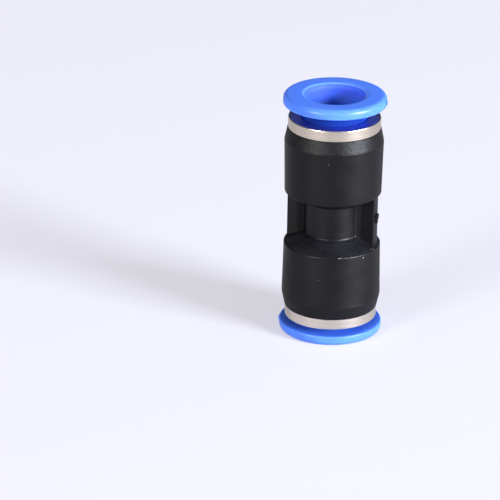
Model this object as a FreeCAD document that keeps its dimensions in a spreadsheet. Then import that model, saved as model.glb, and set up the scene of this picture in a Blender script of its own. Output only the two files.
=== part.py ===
"""Straight push-fit connector for two tubes of one size.

A moulded body joins two sockets end to end. Each socket holds, from its floor outwards, a rubber
seal ring, a back ring, a lock claw of spring steel and a metal collar ring pressed in flush, and
a flanged release sleeve slides in the collar. Pushed in, the sleeve opens the claw.

Every end piece is drawn with its heights counted outwards from the middle of the body, and is
then placed upright at the upper end and upside down at the lower end. The connector stands on
its lower flange, with the lower sleeve partly pressed in.
"""
import FreeCAD, Part
import os
import Sketcher

# Driving dimensions in millimetres: alias, value, meaning
SIZES = [
    ("tube_dia", 10.0, "outer diameter of the tube"),
    ("tube_clearance", 0.15, "radial room for the tube in the sleeve"),
    ("socket_clearance", 0.08, "radial room for the tube end in the body"),
    ("passage_dia", 7.4, "flow passage through the waist"),
    ("body_length", 34.4, "body from end face to end face"),
    ("body_end_dia", 16.8, "body at its end faces"),
    ("shoulder_dia", 17.9, "barrel at the foot of its chamfer"),
    ("shoulder_drop", 2.5, "height of the chamfer"),
    ("barrel_waist_dia", 17.5, "barrel at the edge of the waist"),
    ("waist_width", 9.92, "gap between the edges of the barrels"),
    ("cone_rise", 1.85, "height of the cone from barrel edge to column"),
    ("column_dia", 10.0, "column at the waist"),
    ("web_thick", 2.9, "web at each side of the column"),
    ("web_span", 16.4, "diameter over both webs"),
    ("web_fillet", 0.4, "round between web and column"),
    ("cone_fillet", 0.4, "round at the foot of the column"),
    ("moulded_edge", 0.2, "round on moulded outer edges"),
    ("shoulder_edge", 0.8, "round at the foot of the chamfer"),
    ("gate_dia", 1.9, "gate mark on one web"),
    ("gate_height", 0.1, "gate mark above the web"),
    ("gate_offset", 0.4, "gate mark above the middle of the waist"),
    ("sprue_dia", 1.1, "torn sprue on the gate mark"),
    ("sprue_height", 0.25, "torn sprue above the gate mark"),
    ("sprue_offset", 0.35, "torn sprue above the middle of the gate mark"),
    ("chip_dia", 0.7, "smaller chip below the torn sprue"),
    ("chip_height", 0.15, "smaller chip above the gate mark"),
    ("chip_offset", 0.65, "smaller chip below the middle of the gate mark"),
    ("stop_margin", 0.14, "tube stop beyond the edge of the waist"),
    ("seal_thick", 2.0, "height of the seal's pocket"),
    ("seal_shoulder", 0.55, "step from the seal's pocket to the wider bore above it"),
    ("seal_clearance", 0.05, "room round the seal ring"),
    ("seal_squeeze", 0.12, "lip of the seal inside the tube's surface"),
    ("seal_lip_height", 0.6, "flat of the seal's lip"),
    ("press_clearance", 0.02, "radial room of the collar's skirt in the body"),
    ("drop_clearance", 0.05, "radial room of back ring and claw"),
    ("back_ring_height", 2.6, "spacer between seal and claw"),
    ("back_ring_lip", 0.7, "part of the spacer that holds the seal in"),
    ("back_ring_rim", 0.5, "wall of the spacer under the rim of the claw"),
    ("relief_floor_width", 0.85, "floor of the room under the petals"),
    ("claw_thick", 0.3, "spring steel of the claw"),
    ("claw_rim", 0.85, "flat rim of the claw outside the bend line of its petals"),
    ("claw_bite", 0.15, "tip of a petal inside the tube's surface"),
    ("claw_drop", 1.45, "free tip of a petal below the rim"),
    ("claw_slit", 0.7, "gap between two petals"),
    ("petal_count", 10, "petals of the claw"),
    ("collar_inset", 0.07, "visible ring of the collar inside the edge of the body"),
    ("collar_head_height", 2.0, "visible ring of the collar"),
    ("collar_skirt_height", 4.9, "part of the collar inside the body"),
    ("collar_skirt_wall", 0.53, "wall of the collar round the bead of the sleeve"),
    ("collar_edge", 0.25, "round on the outer edge of the collar"),
    ("collar_mouth_edge", 0.15, "chamfer on the bore of the collar"),
    ("collar_neck_height", 3.6, "narrow bore of the collar"),
    ("bead_clearance", 0.3, "radial room of the bead in the collar"),
    ("neck_clearance", 0.1, "radial room of the sleeve in the collar"),
    ("sleeve_wall", 0.8, "wall of the sleeve at its neck"),
    ("flange_dia", 18.6, "flange of the sleeve"),
    ("flange_thick", 1.85, "flange of the sleeve"),
    ("flange_edge", 0.9, "round on the outer face of the flange"),
    ("flange_back_edge", 0.3, "round on the inner face of the flange"),
    ("neck_fillet", 0.4, "round between neck and flange"),
    ("mouth_round", 1.0, "round at the mouth of the sleeve"),
    ("sleeve_travel", 2.2, "stroke of the sleeve"),
    ("travel_margin", 0.1, "gap under the flange of a sleeve pressed in"),
    ("bead_reach", 0.7, "bead beyond the neck, which keeps the sleeve in the collar"),
    ("bead_height", 0.75, "flat of the bead"),
    ("bead_margin", 0.1, "gap between bead and collar of a sleeve pulled out"),
    ("bead_slope", 0.6, "height of the bead's slope"),
    ("sleeve_play", 1.45, "loose part of the stroke, before the nose meets unbent petals"),
    ("nose_chamfer", 0.25, "slope round the end of the nose"),
    ("sleeve_slit", 1.2, "slit in the skirt of the sleeve"),
    ("sleeve_slit_length", 4.6, "slit from the end of the nose"),
    ("sleeve_slit_count", 4, "slits round the sleeve"),
    ("nub_width", 0.8, "gate nub on the rim of the flange"),
    ("nub_height", 0.7, "gate nub on the rim of the flange"),
    ("nub_reach", 0.2, "gate nub beyond the rim"),
    ("nub_root", 0.4, "gate nub inside the rim"),
    ("lower_press", 1.4, "lower sleeve pressed in at rest"),
    ("upper_press", 0.0, "upper sleeve pressed in at rest"),
    ("petal_gap", 0.05, "petal below the nose of a sleeve pressed in"),
    ("upper_nub_turn", 3.0, "gate nub of the upper flange, in degrees from +X"),
    ("lower_nub_turn", 185.0, "gate nub of the lower flange, in degrees from +X"),
]

# Sizes that follow from the driving ones; heights count outwards from the body's middle
DERIVED = [
    ("body_end", "Sizes.body_length / 2"),
    ("body_end_radius", "Sizes.body_end_dia / 2"),
    ("shoulder", "body_end - Sizes.shoulder_drop"),
    ("shoulder_radius", "Sizes.shoulder_dia / 2"),
    ("waist_edge", "Sizes.waist_width / 2"),
    ("barrel_waist_radius", "Sizes.barrel_waist_dia / 2"),
    ("column_root", "waist_edge - Sizes.cone_rise"),
    ("column_radius", "Sizes.column_dia / 2"),
    ("passage_radius", "Sizes.passage_dia / 2"),
    ("tube_radius", "Sizes.tube_dia / 2"),
    ("tube_stop", "waist_edge + Sizes.stop_margin"),
    ("socket_radius", "tube_radius + Sizes.socket_clearance"),
    ("sleeve_bore_radius", "tube_radius + Sizes.tube_clearance"),
    ("neck_radius", "sleeve_bore_radius + Sizes.sleeve_wall"),
    ("bead_radius", "neck_radius + Sizes.bead_reach"),
    ("collar_undercut_radius", "bead_radius + Sizes.bead_clearance"),
    ("collar_skirt_radius", "collar_undercut_radius + Sizes.collar_skirt_wall"),
    ("counterbore_radius", "collar_skirt_radius + Sizes.press_clearance"),
    ("seal_pocket_radius", "counterbore_radius - Sizes.seal_shoulder"),
    ("rim_edge", "min(Sizes.moulded_edge; (body_end_radius - counterbore_radius) / 2)"),
    ("claw_top", "body_end - Sizes.collar_skirt_height"),
    ("claw_floor", "claw_top - Sizes.claw_thick"),
    ("counterbore_floor", "claw_floor - Sizes.back_ring_height"),
    ("seal_floor", "counterbore_floor - Sizes.seal_thick"),
    ("web_radius", "Sizes.web_span / 2"),
    ("web_half", "Sizes.web_thick / 2"),
    ("web_root", "sqrt(pow((passage_radius + column_radius) / 2; 2) - pow(web_half; 2))"),
    ("web_corner", "sqrt(pow(web_radius; 2) - pow(web_half; 2))"),
    ("gate_radius", "Sizes.gate_dia / 2"),
    ("gate_top", "web_radius + Sizes.gate_height"),
    ("sprue_radius", "Sizes.sprue_dia / 2"),
    ("sprue_top", "gate_top + Sizes.sprue_height"),
    ("sprue_place", "Sizes.gate_offset + Sizes.sprue_offset"),
    ("chip_radius", "Sizes.chip_dia / 2"),
    ("chip_top", "gate_top + Sizes.chip_height"),
    ("chip_place", "Sizes.gate_offset - Sizes.chip_offset"),
    ("seal_outer_radius", "seal_pocket_radius - Sizes.seal_clearance"),
    ("seal_lip_radius", "tube_radius - Sizes.seal_squeeze"),
    ("seal_top", "counterbore_floor - Sizes.seal_clearance"),
    ("seal_lip_low", "(seal_floor + seal_top - Sizes.seal_lip_height) / 2"),
    ("seal_lip_high", "(seal_floor + seal_top + Sizes.seal_lip_height) / 2"),
    ("drop_in_radius", "counterbore_radius - Sizes.drop_clearance"),
    ("relief_floor", "counterbore_floor + Sizes.back_ring_lip"),
    ("relief_floor_radius", "sleeve_bore_radius + Sizes.relief_floor_width"),
    ("relief_top_radius", "drop_in_radius - Sizes.back_ring_rim"),
    ("hinge_radius", "drop_in_radius - Sizes.claw_rim"),
    ("free_tip_radius", "tube_radius - Sizes.claw_bite"),
    ("free_slope", "Sizes.claw_drop / (hinge_radius - free_tip_radius)"),
    ("petal_length", "sqrt(pow(hinge_radius - free_tip_radius; 2) + pow(Sizes.claw_drop; 2))"),
    ("claw_slit_half", "Sizes.claw_slit / 2"),
    ("collar_head_radius", "body_end_radius - Sizes.collar_inset"),
    ("collar_top", "body_end + Sizes.collar_head_height"),
    ("collar_shelf", "collar_top - Sizes.collar_neck_height"),
    ("collar_bore_radius", "neck_radius + Sizes.neck_clearance"),
    ("flange_radius", "Sizes.flange_dia / 2"),
    ("flange_back", "collar_top + Sizes.sleeve_travel + Sizes.travel_margin"),
    ("flange_face", "flange_back + Sizes.flange_thick"),
    ("bead_high", "collar_shelf - Sizes.bead_margin"),
    ("bead_low", "bead_high - Sizes.bead_height"),
    ("bead_foot", "bead_low - Sizes.bead_slope"),
    ("nose_radius", "neck_radius - Sizes.nose_chamfer"),
    ("nose_end", "claw_top - free_slope * (hinge_radius - nose_radius) + Sizes.sleeve_play"),
    ("nose_shoulder", "nose_end + Sizes.nose_chamfer"),
    ("sleeve_slit_half", "Sizes.sleeve_slit / 2"),
    ("sleeve_slit_end", "nose_end + Sizes.sleeve_slit_length"),
    ("nub_inside", "flange_radius - Sizes.nub_root"),
    ("nub_outside", "flange_radius + Sizes.nub_reach"),
    ("nub_half", "Sizes.nub_width / 2"),
    ("nub_low", "(flange_back + flange_face - Sizes.nub_height) / 2"),
    ("body_middle", "flange_face - Sizes.lower_press"),
]

# Petals of the claw at one end, bent down where the nose of a sleeve pressed in reaches them
PETAL = [
    ("{end}_nose_drop", "claw_top - nose_end + Sizes.{end}_press + Sizes.petal_gap"),
    ("{end}_nose_slope", "{end}_nose_drop / (hinge_radius - nose_radius)"),
    ("{end}_shoulder_slope", "({end}_nose_drop - Sizes.nose_chamfer) / (hinge_radius - neck_radius)"),
    ("{end}_slope", "max(free_slope; {end}_nose_slope; {end}_shoulder_slope)"),
    ("{end}_cos", "1 / sqrt(1 + pow({end}_slope; 2))"),
    ("{end}_sin", "{end}_slope * {end}_cos"),
    ("{end}_tip_radius", "hinge_radius - petal_length * {end}_cos"),
    ("{end}_tip_height", "claw_top - petal_length * {end}_sin"),
    ("{end}_under_radius", "{end}_tip_radius + Sizes.claw_thick * {end}_sin"),
    ("{end}_under_height", "{end}_tip_height - Sizes.claw_thick * {end}_cos"),
    ("{end}_under_hinge", "hinge_radius + Sizes.claw_thick * (1 - {end}_cos) / {end}_sin"),
]

ENDS = ("upper", "lower")
SAME_PLACE = 1e-4
SMALLEST_CHANGE = 1e-6

doc = FreeCAD.newDocument("PushFitConnector")


def fill_sheet(name, rows):
    """Put rows of alias and text in a new sheet, and give each cell its alias."""
    sheet = doc.addObject("Spreadsheet::Sheet", name)
    for line, (alias, text) in enumerate(rows, start=1):
        sheet.set(f"A{line}", alias.replace("_", " "))
        sheet.set(f"B{line}", text)
        sheet.setAlias(f"B{line}", alias)
    return sheet


def make_sheets():
    """Make the sheet of driving dimensions, with their meaning, and the sheet of derived ones."""
    sizes = fill_sheet("Sizes", [(alias, str(size)) for alias, size, meaning in SIZES])
    for line, (alias, size, meaning) in enumerate(SIZES, start=1):
        sizes.set(f"C{line}", meaning)
    petal_rows = [(alias.format(end=end), rule.format(end=end)) for end in ENDS for alias, rule in PETAL]
    fill_sheet("Derived", [(alias, "=" + rule) for alias, rule in DERIVED + petal_rows])
    doc.recompute()


def cell(alias):
    """Full name of an alias, for use in an expression."""
    sheet = "Sizes" if hasattr(doc.Sizes, alias) else "Derived"
    return f"{sheet}.{alias}"


def size(alias):
    """Present value of an alias."""
    sheet, name = cell(alias).split(".")
    return float(getattr(doc.getObject(sheet), name))


def new_body(label):
    """Start a sub-part."""
    body = doc.addObject("PartDesign::Body", label)
    body.Label = label
    return body


def origin_part(body, role):
    """A plane or an axis of the body's own origin."""
    return next(item for item in body.Origin.OriginFeatures if item.Role == role)


def new_sketch(body, name, role, height=None):
    """Start a sketch on an origin plane, raised along the plane's normal where height is an alias."""
    sketch = body.newObject("Sketcher::SketchObject", name)
    sketch.AttachmentSupport = (origin_part(body, role), [""])
    sketch.MapMode = "FlatFace"
    if height:
        sketch.setExpression("AttachmentOffset.Base.z", cell(height))
    return sketch


def bind(sketch, kind, *place, alias, sign=1):
    """Add a constraint of a kind, and tie it to an alias."""
    index = sketch.addConstraint(Sketcher.Constraint(kind, *place, sign * size(alias)))
    sketch.setExpression(f"Constraints[{index}]", ("-" if sign < 0 else "") + cell(alias))


def signed(alias):
    """Alias and sign of a coordinate that may be written with a minus."""
    return (alias[1:], -1) if alias.startswith("-") else (alias, 1)


def hold_point(sketch, edge, end, corner):
    """Tie one end of an edge to a corner, a pair of aliases. None puts it on the axis."""
    for kind, axis, alias in (("DistanceX", -2, corner[0]), ("DistanceY", -1, corner[1])):
        if alias is None:
            sketch.addConstraint(Sketcher.Constraint("PointOnObject", edge, end, axis))
        else:
            name, sign = signed(alias)
            bind(sketch, kind, -1, 1, edge, end, alias=name, sign=sign)


def corner_point(corner):
    """Where a corner lies now."""
    x, y = (0.0 if alias is None else signed(alias)[1] * size(signed(alias)[0]) for alias in corner)
    return FreeCAD.Vector(x, y, 0)


def draw_outline(sketch, corners, bulges=()):
    """Draw a closed outline through corners. An edge listed in bulges is an arc about the origin."""
    points = [corner_point(corner) for corner in corners]
    for index, start in enumerate(points):
        stop = points[(index + 1) % len(points)]
        if index in bulges:
            crown = (start + stop).normalize() * start.Length
            sketch.addGeometry(Part.Arc(start, crown, stop), False)
            sketch.addConstraint(Sketcher.Constraint("Coincident", index, 3, -1, 1))
        else:
            sketch.addGeometry(Part.LineSegment(start, stop), False)
    for index in range(len(points)):
        before = (index - 1) % len(points)
        if before not in bulges:
            sketch.addConstraint(Sketcher.Constraint("Coincident", before, 2, index, 1))
        else:
            sketch.addConstraint(Sketcher.Constraint("Coincident", index, 1, before, 2))
    for index, corner in enumerate(corners):
        if index - 1 in bulges:
            continue
        hold_point(sketch, index, 1, corner)


def revolve(body, name, corners):
    """Turn an outline of radii and heights round the axis."""
    sketch = new_sketch(body, name + "Outline", "XZ_Plane")
    draw_outline(sketch, corners)
    feature = body.newObject("PartDesign::Revolution", name)
    feature.Profile = sketch
    feature.ReferenceAxis = (sketch, ["V_Axis"])
    feature.Angle = 360
    doc.recompute()
    return feature


def volume_change(before, after):
    """Stop where a cut or an addition did nothing."""
    change = after.Shape.Volume - before.Shape.Volume
    if abs(change) < SMALLEST_CHANGE:
        raise RuntimeError(f"{after.Label} changes nothing")
    return change


def circle_edges(feature, *places):
    """Names of the round edges about the axis at pairs of radius and height, on both sides."""
    names = []
    for index, edge in enumerate(feature.Shape.Edges, start=1):
        if not isinstance(edge.Curve, Part.Circle):
            continue
        centre = edge.Curve.Center
        if abs(centre.x) > SAME_PLACE or abs(centre.y) > SAME_PLACE:
            continue
        for radius, height in places:
            same_radius = abs(edge.Curve.Radius - size(radius)) < SAME_PLACE
            if same_radius and abs(abs(centre.z) - size(height)) < SAME_PLACE:
                names.append(f"Edge{index}")
    return names


def dress(body, base, name, kind, names, alias):
    """Round or chamfer named edges of a feature by the size of an alias."""
    feature = body.newObject("PartDesign::" + kind, name)
    feature.Base = (base, names)
    feature.setExpression("Radius" if kind == "Fillet" else "Size", cell(alias))
    doc.recompute()
    volume_change(base, feature)
    return feature


def repeat(body, base, name, features, count):
    """Repeat features evenly round the axis."""
    pattern = body.newObject("PartDesign::PolarPattern", name)
    pattern.Originals = features
    pattern.Axis = (origin_part(body, "Z_Axis"), [""])
    pattern.Angle = 360
    pattern.setExpression("Occurrences", cell(count))
    body.Tip = pattern
    doc.recompute()
    volume_change(base, pattern)
    return pattern


def mirror(body, base, name, features, role):
    """Mirror features in an origin plane."""
    feature = body.newObject("PartDesign::Mirrored", name)
    feature.Originals = features
    feature.MirrorPlane = (origin_part(body, role), [""])
    body.Tip = feature
    doc.recompute()
    volume_change(base, feature)
    return feature


def cut_through(body, base, name, sketch):
    """Cut a sketch through everything on both sides of its plane."""
    pocket = body.newObject("PartDesign::Pocket", name)
    pocket.Profile = sketch
    pocket.Type = "ThroughAll"
    pocket.Midplane = True
    doc.recompute()
    volume_change(base, pocket)
    return pocket


def web_edges(feature):
    """Names of the upright edges where a web meets the column."""
    names = []
    for index, edge in enumerate(feature.Shape.Edges, start=1):
        start, stop = edge.Vertexes[0].Point, edge.Vertexes[-1].Point
        upright = abs(start.x - stop.x) < SAME_PLACE and abs(start.y - stop.y) < SAME_PLACE
        at_column = abs(abs(start.y) - size("web_half")) < SAME_PLACE
        near = start.x ** 2 + start.y ** 2 < (size("column_radius") + SAME_PLACE) ** 2
        if upright and at_column and near and edge.Length > SAME_PLACE:
            names.append(f"Edge{index}")
    return names


def add_boss(body, base, name, radius, place, top):
    """Raise a round boss on the web at +X, at a height, up to a distance from the axis."""
    sketch = new_sketch(body, name + "Outline", "YZ_Plane", "column_radius")
    centre = FreeCAD.Vector(0, size(place), 0)
    sketch.addGeometry(Part.Circle(centre, FreeCAD.Vector(0, 0, 1), size(radius)), False)
    sketch.addConstraint(Sketcher.Constraint("PointOnObject", 0, 3, -2))
    bind(sketch, "DistanceY", -1, 1, 0, 3, alias=place)
    bind(sketch, "Radius", 0, alias=radius)
    boss = body.newObject("PartDesign::Pad", name)
    boss.Profile = sketch
    boss.setExpression("Length", f"{cell(top)} - {cell('column_radius')}")
    doc.recompute()
    volume_change(base, boss)
    return boss


def make_body():
    """The moulded body: two barrels, a column with a flow passage, two webs and a gate mark."""
    body = new_body("body")
    half = revolve(body, "HalfBody", [
        ("passage_radius", None),
        ("column_radius", None),
        ("column_radius", "column_root"),
        ("barrel_waist_radius", "waist_edge"),
        ("shoulder_radius", "shoulder"),
        ("body_end_radius", "body_end"),
        ("counterbore_radius", "body_end"),
        ("counterbore_radius", "counterbore_floor"),
        ("seal_pocket_radius", "counterbore_floor"),
        ("seal_pocket_radius", "seal_floor"),
        ("socket_radius", "seal_floor"),
        ("socket_radius", "tube_stop"),
        ("passage_radius", "tube_stop"),
    ])
    whole = mirror(body, half, "WholeBody", [half], "XY_Plane")
    feet = circle_edges(whole, ("column_radius", "column_root"))
    footed = dress(body, whole, "ColumnFeet", "Fillet", feet, "cone_fillet")
    shoulders = circle_edges(footed, ("shoulder_radius", "shoulder"))
    shouldered = dress(body, footed, "Shoulders", "Fillet", shoulders, "shoulder_edge")
    waist_rims = circle_edges(shouldered, ("barrel_waist_radius", "waist_edge"))
    waisted = dress(body, shouldered, "WaistRims", "Fillet", waist_rims, "moulded_edge")
    end_rims = circle_edges(waisted, ("body_end_radius", "body_end"))
    rimmed = dress(body, waisted, "EndRims", "Fillet", end_rims, "rim_edge")

    sketch = new_sketch(body, "WebOutline", "XY_Plane")
    draw_outline(sketch, [
        ("web_root", "-web_half"),
        ("web_corner", "-web_half"),
        ("web_corner", "web_half"),
        ("web_root", "web_half"),
    ], bulges=(1,))
    web = body.newObject("PartDesign::Pad", "Web")
    web.Profile = sketch
    web.Midplane = True
    web.setExpression("Length", cell("waist_width"))
    doc.recompute()
    volume_change(rimmed, web)
    webs = mirror(body, web, "Webs", [web], "YZ_Plane")
    joined = dress(body, webs, "WebRoots", "Fillet", web_edges(webs), "web_fillet")
    gate = add_boss(body, joined, "GateMark", "gate_radius", "gate_offset", "gate_top")
    sprue = add_boss(body, gate, "TornSprue", "sprue_radius", "sprue_place", "sprue_top")
    add_boss(body, sprue, "SprueChip", "chip_radius", "chip_place", "chip_top")
    return body


def make_seal_ring(label):
    """The rubber seal, a ring with a lip that closes on the tube."""
    body = new_body(label)
    revolve(body, "Seal", [
        ("sleeve_bore_radius", "seal_floor"),
        ("seal_outer_radius", "seal_floor"),
        ("seal_outer_radius", "seal_top"),
        ("sleeve_bore_radius", "seal_top"),
        ("seal_lip_radius", "seal_lip_high"),
        ("seal_lip_radius", "seal_lip_low"),
    ])
    return body


def make_back_ring(label):
    """The spacer that holds the seal in and leaves room under the petals."""
    body = new_body(label)
    revolve(body, "Spacer", [
        ("sleeve_bore_radius", "counterbore_floor"),
        ("drop_in_radius", "counterbore_floor"),
        ("drop_in_radius", "claw_floor"),
        ("relief_top_radius", "claw_floor"),
        ("relief_floor_radius", "relief_floor"),
        ("sleeve_bore_radius", "relief_floor"),
    ])
    return body


def make_lock_claw(label, end):
    """The spring-steel ring whose petals slope inwards and grip the tube."""
    body = new_body(label)
    ring = revolve(body, "Ring", [
        ("drop_in_radius", "claw_floor"),
        ("drop_in_radius", "claw_top"),
        ("hinge_radius", "claw_top"),
        (f"{end}_tip_radius", f"{end}_tip_height"),
        (f"{end}_under_radius", f"{end}_under_height"),
        (f"{end}_under_hinge", "claw_floor"),
    ])
    sketch = new_sketch(body, "SlitOutline", "XY_Plane")
    draw_outline(sketch, [
        ("passage_radius", "-claw_slit_half"),
        ("hinge_radius", "-claw_slit_half"),
        ("hinge_radius", "claw_slit_half"),
        ("passage_radius", "claw_slit_half"),
    ])
    slit = cut_through(body, ring, "Slit", sketch)
    repeat(body, slit, "Slits", [slit], "petal_count")
    return body


def make_collar_ring(label):
    """The plated metal ring that closes the socket and guides the sleeve."""
    body = new_body(label)
    turned = revolve(body, "Turned", [
        ("collar_bore_radius", "collar_shelf"),
        ("collar_bore_radius", "collar_top"),
        ("collar_head_radius", "collar_top"),
        ("collar_head_radius", "body_end"),
        ("collar_skirt_radius", "body_end"),
        ("collar_skirt_radius", "claw_top"),
        ("collar_undercut_radius", "claw_top"),
        ("collar_undercut_radius", "collar_shelf"),
    ])
    outer = circle_edges(turned, ("collar_head_radius", "collar_top"))
    rounded = dress(body, turned, "HeadEdge", "Fillet", outer, "collar_edge")
    mouth = circle_edges(rounded, ("collar_bore_radius", "collar_top"))
    dress(body, rounded, "MouthEdge", "Chamfer", mouth, "collar_mouth_edge")
    return body


def make_release_sleeve(label):
    """The flanged sleeve: a neck, a bead on slit fingers, and a nose that opens the claw."""
    body = new_body(label)
    turned = revolve(body, "Turned", [
        ("sleeve_bore_radius", "nose_end"),
        ("nose_radius", "nose_end"),
        ("neck_radius", "nose_shoulder"),
        ("neck_radius", "bead_foot"),
        ("bead_radius", "bead_low"),
        ("bead_radius", "bead_high"),
        ("neck_radius", "bead_high"),
        ("neck_radius", "flange_back"),
        ("flange_radius", "flange_back"),
        ("flange_radius", "flange_face"),
        ("sleeve_bore_radius", "flange_face"),
    ])
    face = circle_edges(turned, ("flange_radius", "flange_face"))
    faced = dress(body, turned, "FaceEdge", "Fillet", face, "flange_edge")
    back = circle_edges(faced, ("flange_radius", "flange_back"))
    backed = dress(body, faced, "BackEdge", "Fillet", back, "flange_back_edge")
    neck = circle_edges(backed, ("neck_radius", "flange_back"))
    necked = dress(body, backed, "NeckRound", "Fillet", neck, "neck_fillet")
    mouth = circle_edges(necked, ("sleeve_bore_radius", "flange_face"))
    opened = dress(body, necked, "MouthRound", "Fillet", mouth, "mouth_round")

    sketch = new_sketch(body, "SlitOutline", "YZ_Plane")
    draw_outline(sketch, [
        ("-sleeve_slit_half", "claw_floor"),
        ("sleeve_slit_half", "claw_floor"),
        ("sleeve_slit_half", "sleeve_slit_end"),
        ("-sleeve_slit_half", "sleeve_slit_end"),
    ])
    slit = body.newObject("PartDesign::Pocket", "Slit")
    slit.Profile = sketch
    slit.Reversed = True
    slit.setExpression("Length", cell("flange_radius"))
    doc.recompute()
    volume_change(opened, slit)
    slits = repeat(body, slit, "Slits", [slit], "sleeve_slit_count")

    sketch = new_sketch(body, "NubOutline", "XY_Plane", "nub_low")
    draw_outline(sketch, [
        ("nub_inside", "-nub_half"),
        ("nub_outside", "-nub_half"),
        ("nub_outside", "nub_half"),
        ("nub_inside", "nub_half"),
    ])
    nub = body.newObject("PartDesign::Pad", "GateNub")
    nub.Profile = sketch
    nub.setExpression("Length", cell("nub_height"))
    doc.recompute()
    volume_change(slits, nub)
    return body


def place(body, end, pressed=False):
    """Stand an end piece at its end of the body, pushed in where it is a sleeve."""
    upper = end == "upper"
    turn = FreeCAD.Rotation(FreeCAD.Vector(1, 0, 0), 0 if upper else 180)
    rule = cell("body_middle")
    if pressed:
        nub = FreeCAD.Rotation(FreeCAD.Vector(0, 0, 1), size(f"{end}_nub_turn"))
        turn = nub * turn
        rule += f" {'-' if upper else '+'} {cell(end + '_press')}"
    body.Placement = FreeCAD.Placement(FreeCAD.Vector(0, 0, 0), turn)
    body.setExpression("Placement.Base.z", rule)


def check(bodies):
    """Stop where an object failed or a sub-part is not one sound solid."""
    doc.recompute()
    for item in doc.Objects:
        if "Invalid" in item.State or "Error" in item.State:
            raise RuntimeError(f"{item.Label} failed: {item.State}")
    for body in bodies:
        shape = body.Shape
        if shape.isNull() or not shape.isValid() or len(shape.Solids) != 1:
            raise RuntimeError(f"{body.Label} is not one sound solid")


def main():
    make_sheets()
    bodies = [make_body()]
    bodies[0].setExpression("Placement.Base.z", cell("body_middle"))
    for end in ENDS:
        inner = [
            make_seal_ring(end + "_seal_ring"),
            make_back_ring(end + "_back_ring"),
            make_lock_claw(end + "_lock_claw", end),
            make_collar_ring(end + "_collar_ring"),
        ]
        for body in inner:
            place(body, end)
        sleeve = make_release_sleeve(end + "_release_sleeve")
        place(sleeve, end, pressed=True)
        bodies += inner + [sleeve]
    check(bodies)
    os.makedirs("parts", exist_ok=True)
    for body in bodies:
        body.Shape.exportStep(f"parts/{body.Label}.step")
        print(body.Label, round(body.Shape.Volume, 2), body.Shape.BoundBox)


main()
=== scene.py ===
"""Looks of a straight push-fit connector: its moulded body, sleeves, rings, flash and studio."""
import math

import bpy
from bpy.props import FloatProperty, FloatVectorProperty, IntProperty, PointerProperty
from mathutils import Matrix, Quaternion, Vector


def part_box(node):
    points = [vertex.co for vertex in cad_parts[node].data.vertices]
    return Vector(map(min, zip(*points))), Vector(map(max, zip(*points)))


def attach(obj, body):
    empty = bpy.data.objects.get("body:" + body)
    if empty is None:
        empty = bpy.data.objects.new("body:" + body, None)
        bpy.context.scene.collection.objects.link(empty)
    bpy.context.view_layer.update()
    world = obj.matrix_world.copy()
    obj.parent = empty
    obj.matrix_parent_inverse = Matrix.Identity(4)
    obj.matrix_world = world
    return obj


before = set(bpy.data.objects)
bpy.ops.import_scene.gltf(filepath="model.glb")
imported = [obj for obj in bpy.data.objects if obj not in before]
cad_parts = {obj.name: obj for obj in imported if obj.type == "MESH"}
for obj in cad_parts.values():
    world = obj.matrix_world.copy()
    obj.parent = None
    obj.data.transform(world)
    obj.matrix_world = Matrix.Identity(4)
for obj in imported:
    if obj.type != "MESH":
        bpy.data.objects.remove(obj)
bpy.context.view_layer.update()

bl_info = {
    "name": "Push-fit connector",
    "version": (1, 0, 0),
    "blender": (4, 5, 0),
    "location": "View3D > Sidebar > Connector",
    "description": "Finishes a straight push-fit connector and sets up a plain studio",
    "category": "Object",
}

MM = 0.001
ENDS = ("upper", "lower")
BODY_LOW, BODY_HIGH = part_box("body")
MIDDLE = (BODY_LOW.z + BODY_HIGH.z) / 2
BODY_HALF = (BODY_HIGH.z - BODY_LOW.z) / 2
OBJECT_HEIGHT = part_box("upper_release_sleeve")[1].z
CLEAR_OF_BODY = 30 * MM
FLASH_WIDTH = 0.16 * MM
FLASH_STEPS = 24
FLASH_SWELL_LENGTH = 0.9 * MM
SPECK_SEED = 4
FLOOR_REACH = 4.0
SENSOR_WIDTH = 36
LAMP_DISTANCE = 1.8

# Shares of its width that a flash swells to, and that a speck's length and thickness have
FLASH_SWELL = (0.45, 1.25)
SPECK_LENGTH = (0.6, 1.3)
SPECK_THICKNESS = 0.45

# Sockets of a Mix node that mixes colours
MIX_COLOURS = (6, 7)
MIX_RESULT = 2

# Places where a shade is nought and where it is full, as distances from the axis
NECK_WALL = (5.5 * MM, 5.6 * MM)
NECK_REACH = (6.8 * MM, 6.2 * MM)
MOUTH_BORE = (5.75 * MM, 5.4 * MM)
LINE_INSIDE = (5.55 * MM, 5.68 * MM)
LINE_OUTSIDE = (5.9 * MM, 5.72 * MM)
WEB_ROOT = (4.7 * MM, 5.0 * MM)
RIGHT_WEB_DARK = (5.6 * MM, 6.1 * MM)
WEB_FACE_END = (8.05 * MM, 7.9 * MM)
COLUMN_FOOT = (5.6 * MM, 5.4 * MM)

# The same, as distances over or under the body's middle
NECK_END = (21.6 * MM, 21.3 * MM)
MOUTH_DEPTH = (18.5 * MM, 22.3 * MM)
LINE_FACE = (22.6 * MM, 22.8 * MM)
WAIST = (4.95 * MM, 4.75 * MM)

# The same, as heights
SHELF = (5 * MM, 4 * MM)
LOWER_HALF = (MIDDLE, MIDDLE - 1 * MM)

# The same, as places on X
LEFT_SIDE = (0.1 * MM, -0.1 * MM)
LEFT_WEB_END = (-6.7 * MM, -5.9 * MM)

# The same, as distances from the webs' middle plane
WEB_SIDE = (2.1 * MM, 1.9 * MM)
WEB_BESIDE = (1.46 * MM, 1.5 * MM)

# The same, as how far a surface faces up
TILTED = (0.04, 0.12)
CONE_TOP = (0.6, 0.85)
SHELF_TOP = (0.7, 0.97)
END_FACE = (0.8, 0.95)

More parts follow.
